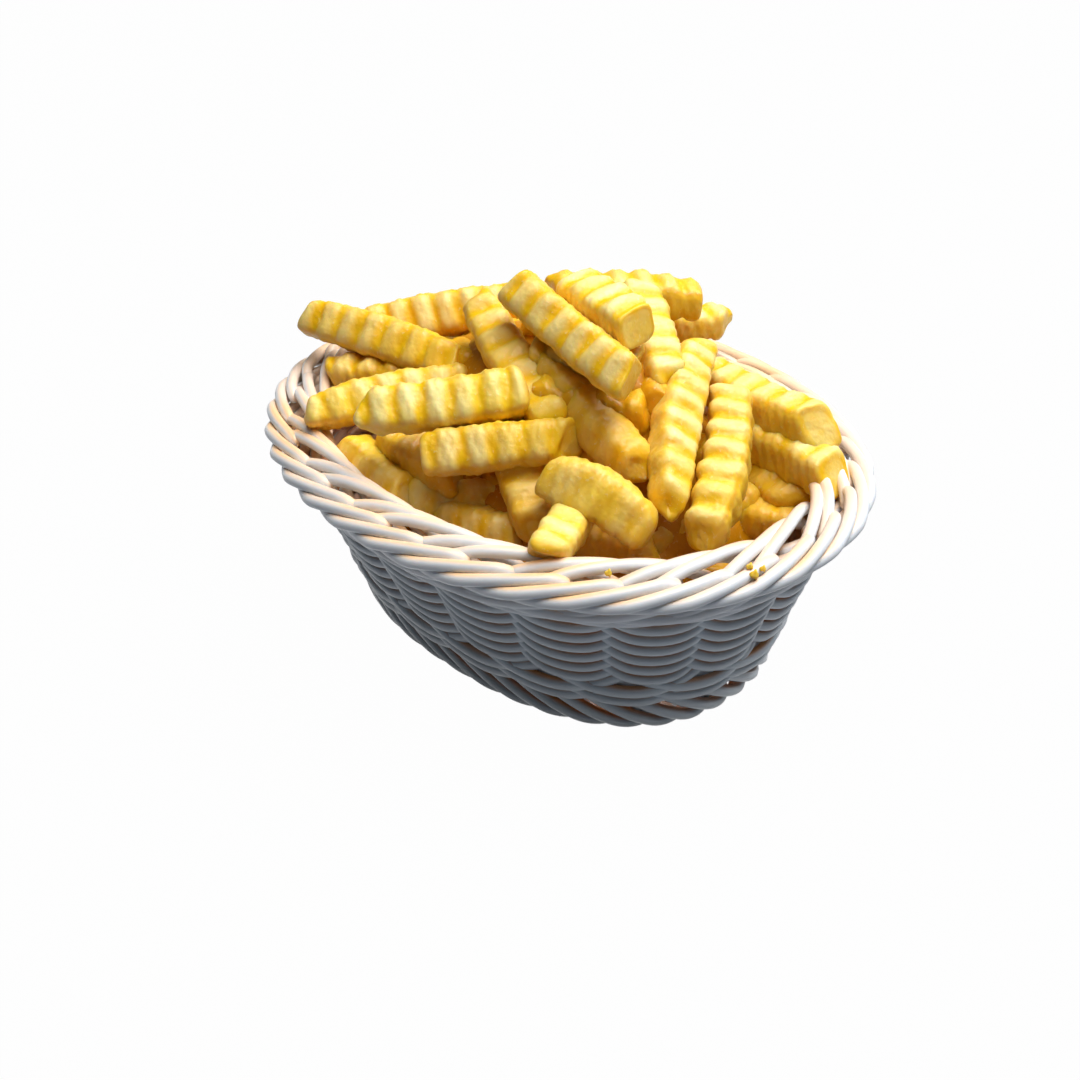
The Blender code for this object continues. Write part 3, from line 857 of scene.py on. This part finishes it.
# The heap's surface is a stack of ovals from the floor to the top: their heights, middles and half sizes.
heap = {
    "height": (3.9, 20, 37, 47.3, 57.4, 66.6, 75.7, 84.2),
    "middleX": (0, 0, -1, -5, -6, -5, 0, 5),
    "middleY": (0, 0, 1, 5, 7, 6, 4, 2),
    "halfX": (52, 60, 66, 63, 55, 46, 34, 20),
    "halfY": (32, 41, 48, 45, 37, 30, 23, 13),
}


# Middle and half sizes of the heap at any height, on straight lines between the listed ovals.
def heapOval(height):
    return [np.interp(height, heap["height"], heap[key]) for key in ("middleX", "middleY", "halfX", "halfY")]


packed = {
    "seed": 5,
    "count": 40,
    "low": 40,
    "high": 78,
    "turn": 2.399963,
    "spread": 0.80,
    "vary": 0.1,
    "reach": (15, 22),
    "tilt": 0.25,
    "within": 0.93,
    "sink": 5,
    "shortest": 27,
    "wide": 12,
    "thick": 11.5,
    "rings": 60,
    "around": 28,
}


# Packed fries: each one is a golden angle further round and a step higher, at about spread of the way
# out, with a drawn heading and length. An end beyond the heap's oval is pulled in to it, and what gets
# too short is left out.
def packedFries(settings):
    rand = np.random.default_rng(settings["seed"])
    made = []
    for k in range(settings["count"]):
        height = settings["low"] + (settings["high"] - settings["low"]) * ((k + 0.5) / settings["count"])
        cx, cy, a, b = heapOval(height)
        turn = k * settings["turn"]
        spread = settings["spread"] + settings["vary"] * rand.uniform(-1, 1)
        x, y = cx + spread * a * math.cos(turn), cy + spread * b * math.sin(turn)
        heading = rand.uniform(0, math.pi)
        reach = rand.uniform(*settings["reach"])
        tilt = rand.uniform(-settings["tilt"], settings["tilt"])
        dx, dy, dz = reach * math.cos(heading), reach * math.sin(heading), reach * tilt
        ends = []
        for sign in (-1, 1):
            ex, ey = x + sign * dx, y + sign * dy
            far = math.hypot((ex - cx) / (a * settings["within"]), (ey - cy) / (b * settings["within"]))
            pull = 1 / far if far > 1 else 1.0
            endUp = height - settings["sink"] + sign * dz
            ends.append((cx + (ex - cx) * pull, cy + (ey - cy) * pull, endUp))
        if math.dist(ends[0], ends[1]) > settings["shortest"]:
            made.append({"from": ends[0], "to": ends[1], "turn": rand.uniform(0, 90),
                         "wide": settings["wide"], "thick": settings["thick"]})
    return made


hidden = packedFries(packed)
packedShape = {**fryShape, "rings": packed["rings"], "around": packed["around"]}
rows, poles, masks = frySkins(hidden, packedShape, 23)
underFries = skinMesh("underFries", rows, poles, masks, (2, math.ceil(len(hidden) / 2)))
print("packed fries made:", len(hidden))

# The core fills the middle: the heap's ovals less the inset, which grows between the two heights, a
# little wavy. Its near-brown colour is painted shade deep inside the heap.
coreShape = {
    "around": 96,
    "levels": 34,
    "low": 4.2,
    "high": 79,
    "insetHeights": (20, 40),
    "inset": (2.5, 7.5),
    "crown": 1.5,
}
coreTurn = np.linspace(0, 2 * np.pi, coreShape["around"] + 1)[:-1]
coreRows = []
for level in np.linspace(coreShape["low"], coreShape["high"], coreShape["levels"]):
    cx, cy, a, b = heapOval(level)
    inset = np.interp(level, coreShape["insetHeights"], coreShape["inset"])
    ring = ovalPoint(coreTurn, (a - inset, b - inset), basket["rimSquare"]) + (cx, cy)
    wavy = 1 + 0.02 * np.sin(7 * coreTurn + level * 0.6) + 0.014 * np.sin(13 * coreTurn - level)
    ring = ring * wavy[:, None]
    coreRows.append(np.concatenate([ring, np.full((coreShape["around"], 1), level)], -1))
coreRows = np.array(coreRows)[None]
corePoles = np.stack([coreRows[:, 0].mean(1), coreRows[:, -1].mean(1) + (0, 0, coreShape["crown"])], 1)
# The core's tone of 0.9 darkens it further, as part of its painted shade.
flatMask = np.full(coreRows.shape[:3], 0.3)
coreMasks = {"ridge": flatMask, "edge": flatMask * 0, "tone": flatMask + 0.6}
core = skinMesh("heapCore", coreRows, corePoles, coreMasks, (1, 1))
print("core made")

# Crumbs: small uneven balls resting on the border, by column round the rim and offset across it.
crumb = {
    "column": (17.32, 17.32, 17.42, 16.06),
    "out": (4.0, 6.0, 5.4, 1.0),
    "radius": (0.8, 1.0, 0.7, 0.8),
    "lift": 0.3,
    "around": 12,
}
crumbOut = np.array(crumb["out"])
crumbUp = (rimMiddle + border["rollUp"] * np.sqrt(1 - (crumbOut / border["rollAcross"]) ** 2)
           + caneRadius + crumb["lift"])
crumbAt = basketPoint(np.array(crumb["column"]), crumbUp, crumbOut)[0]
fall = np.pi * np.arange(1, 9) / 9
ballTurn = 2 * np.pi * np.arange(crumb["around"]) / crumb["around"]
ball = np.stack([np.sin(fall)[:, None] * np.cos(ballTurn), np.sin(fall)[:, None] * np.sin(ballTurn),
                 -np.cos(fall)[:, None] * np.ones(crumb["around"])], -1)
uneven = 1 + 0.22 * np.sin(3 * ball[..., 0] + 5 * ball[..., 1]) + 0.15 * np.cos(6 * ball[..., 2])
sizes = np.array(crumb["radius"])[:, None, None, None]
crumbRows = crumbAt[:, None, None] + sizes * (ball * uneven[..., None])
crumbPoles = crumbAt[:, None] + sizes[:, 0] * np.array([[0, 0, -1.1], [0, 0, 1.1]])
crumbMask = np.full(crumbRows.shape[:3], 0.5)
crumbMasks = {"ridge": crumbMask, "edge": crumbMask * 0.6, "tone": crumbMask}
crumbs = skinMesh("crumbs", crumbRows, crumbPoles, crumbMasks, (1, len(crumb["radius"])))
print("crumbs made")

# Looks: base colours are linear, patch, grain and dotCell are millimetres.
# caneLook's flank colour is painted reflected light from the fries, not a colour of the plastic.
caneLook = {
    "crown": (0.80, 0.83, 0.87), "flank": (0.92, 0.58, 0.30), "warmFrom": 0.2, "warmTo": 0.62,
    "patch": 30.0, "vary": 0.05, "rough": 0.34, "glow": 0.12,
    "dotCell": 9.0, "dotShare": 0.012, "dotReach": 0.14, "dot": (0.42, 0.24, 0.05),
}
# Painted shade: the wall, foot and floor get a darker, bluer copy of the rim's cane colour for the cool shade
# below the border, and darker warm flanks for painted reflected light in the shaded gaps.
shadedWallLook = {
    **caneLook, "crown": (0.68, 0.74, 0.79), "flank": (0.72, 0.32, 0.11),
    "warmFrom": 0.18, "warmTo": 0.62, "glow": 0.05,
}
# crest and valley hold a painted highlight and painted shade as well as the fry's own colours.
fryLook = {
    "valley": (0.84, 0.50, 0.004), "crest": (0.87, 0.75, 0.32), "gold": (0.85, 0.56, 0.01),
    "brown": (0.58, 0.24, 0.004), "deep": (0.76, 0.38, 0.0), "freckle": (0.92, 0.84, 0.50),
    "burn": 0.6, "vary": 0.6, "patch": 22.0, "grain": 4.5, "rough": 0.42, "bump": 0.6, "glow": 0.38,
}
# Painted shade: the packed fries below the top ones get darker, more orange copies of the fry colours, for
# the shade inside the heap.
shadedUnderLook = {
    **fryLook, "valley": (0.66, 0.27, 0.0), "crest": (0.80, 0.50, 0.03), "gold": (0.74, 0.42, 0.005),
    "vary": 0.7,
}
# Painted shade: the core's near-brown fry colours stand for the shade deep inside the heap.
coreShadeLook = {
    **fryLook, "valley": (0.45, 0.15, 0.0), "crest": (0.50, 0.20, 0.0), "gold": (0.48, 0.18, 0.0),
    "vary": 0.3, "glow": 0.1,
}

rimMaterial = caneMaterial("rimCane", caneLook)
shadedWallMaterial = caneMaterial("wallCaneShaded", shadedWallLook)
topMaterial = fryMaterial("friedPotato", fryLook)
shadedUnderMaterial = fryMaterial("friedPotatoShaded", shadedUnderLook)
coreShadeMaterial = fryMaterial("friedPotatoCoreShade", coreShadeLook)

pieces = [
    (rimPiece, rimMaterial, "basket_rim", "rim_cane"),
    (wallPiece, shadedWallMaterial, "basket_wall", "wall_cane"),
    (footPiece, shadedWallMaterial, "basket_foot", "foot_cane"),
    (floorPiece, shadedWallMaterial, "basket_floor", "floor_cane"),
    (topFries, topMaterial, "fries_heap", "golden_fries"),
    (underFries, shadedUnderMaterial, None, "golden_fries"),
    (core, coreShadeMaterial, None, "golden_fries"),
    (crumbs, topMaterial, None, "golden_fries"),
]
for piece, look, node, slotName in pieces:
    piece.data.materials.clear()
    piece.data.materials.append(look)
    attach(piece, "root")
    if node:
        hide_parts(node)
    print(piece.name, len(piece.data.polygons), "faces")

# The floor and the world light the basket dimly, but look white to the camera.
stage = {
    "floor": (0.16, 0.17, 0.19),
    "seen": 0.985,
    "world": (0.62, 0.70, 0.80),
    "worldStrength": 0.07,
}
bpy.ops.mesh.primitive_plane_add(size=6, location=(0, 0, 0))
ground = bpy.context.object
ground.name = "ground"
ground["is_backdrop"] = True
paper, tree, shader = startMaterial("paper")
shader.inputs["Base Color"].default_value = (*stage["floor"], 1)
shader.inputs["Roughness"].default_value = 0.9
rays = addNode(tree, "ShaderNodeLightPath")
seen = calc(tree, "MAXIMUM", rays.outputs["Is Camera Ray"], rays.outputs["Is Glossy Ray"])
seen = calc(tree, "MAXIMUM", seen, rays.outputs["Is Transmission Ray"])
white = addNode(tree, "ShaderNodeEmission", None, {"Color": (1, 1, 1, 1), "Strength": 1.0})
blend = addNode(tree, "ShaderNodeMixShader")
tree.links.new(calc(tree, "MULTIPLY", seen, stage["seen"]), blend.inputs[0])
tree.links.new(shader.outputs[0], blend.inputs[1])
tree.links.new(white.outputs[0], blend.inputs[2])
tree.links.new(blend.outputs[0], tree.nodes["Material Output"].inputs["Surface"])
ground.data.materials.append(paper)

world = bpy.data.worlds.new("room")
world.use_nodes = True
bpy.context.scene.world = world
tree = world.node_tree
sky = tree.nodes["Background"]
sky.inputs["Color"].default_value = (*stage["world"], 1)
sky.inputs["Strength"].default_value = stage["worldStrength"]
seenSky = addNode(tree, "ShaderNodeBackground", None, {"Color": (1, 1, 1, 1), "Strength": 1.0})
rays = addNode(tree, "ShaderNodeLightPath")
blend = addNode(tree, "ShaderNodeMixShader")
tree.links.new(rays.outputs["Is Camera Ray"], blend.inputs[0])
tree.links.new(sky.outputs[0], blend.inputs[1])
tree.links.new(seenSky.outputs[0], blend.inputs[2])
tree.links.new(blend.outputs[0], tree.nodes["World Output"].inputs["Surface"])


# A soft lamp at a compass angle and height about the basket, facing its middle.
def softLamp(name, settings):
    light = bpy.data.lights.new(name, "AREA")
    light.shape = "DISK"
    light.size = settings["size"]
    light.energy = settings["energy"]
    light.color = settings["colour"]
    lamp = bpy.data.objects.new(name, light)
    turn, rise = math.radians(settings["turn"]), math.radians(settings["rise"])
    far = settings["far"]
    flatFar = far * math.cos(rise)
    lamp.location = (flatFar * math.sin(turn), -flatFar * math.cos(turn), far * math.sin(rise))
    aim = -lamp.location.normalized()
    lamp.rotation_euler = aim.to_track_quat("-Z", "Y").to_euler()
    bpy.context.scene.collection.objects.link(lamp)


windowLamp = {"turn": 168, "rise": 62, "far": 1.2, "size": 1.0, "energy": 17, "colour": (0.95, 0.98, 1.0)}
ceilingLamp = {"turn": 80, "rise": 78, "far": 1.3, "size": 1.0, "energy": 13.5, "colour": (1.0, 0.98, 0.95)}
softLamp("window", windowLamp)
softLamp("ceiling", ceilingLamp)

view = {
    "azimuth": 45.8,
    "elevation": 31.9,
    "distance": 0.4378,
    "lens": 54.1,
    "roll": -0.5,
    "aim": (0, 0, 0.0293),
    "slide": (-0.0054, -0.0064),
}
camera = bpy.data.objects.new("camera", bpy.data.cameras.new("camera"))
camera.data.lens = view["lens"]
camera.data.sensor_width = 36
# The camera stands at the azimuth and elevation, looks past the aim by the slide, and is rolled a little.
turn, rise = math.radians(view["azimuth"]), math.radians(view["elevation"])
back = np.array([math.sin(turn) * math.cos(rise), -math.cos(turn) * math.cos(rise), math.sin(rise)])
right = np.array([math.cos(turn), math.sin(turn), 0.0])
upward = np.cross(back, right)
roll = math.radians(view["roll"])
tiltRight = math.cos(roll) * right + math.sin(roll) * upward
tiltUp = -math.sin(roll) * right + math.cos(roll) * upward
place = np.array(view["aim"]) + back * view["distance"]
target = np.array(view["aim"]) + tiltRight * view["slide"][0] + tiltUp * view["slide"][1]
ahead = target - place
ahead /= np.linalg.norm(ahead)
axisX = np.cross(ahead, tiltUp)
axisX /= np.linalg.norm(axisX)
axisY = np.cross(axisX, ahead)
pose = np.eye(4)
pose[:3, 0], pose[:3, 1], pose[:3, 2], pose[:3, 3] = axisX, axisY, -ahead, place
camera.matrix_world = Matrix(pose.tolist())
camera.data.clip_start = 0.02
bpy.context.scene.collection.objects.link(camera)
bpy.context.scene.camera = camera
bpy.context.scene.view_settings.view_transform = "Standard"
print("stage ready")

sizes = {"cad": [list(map(float, corner)) for corner in cadBox], "visual": [list(map(float, corner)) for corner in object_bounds()]}
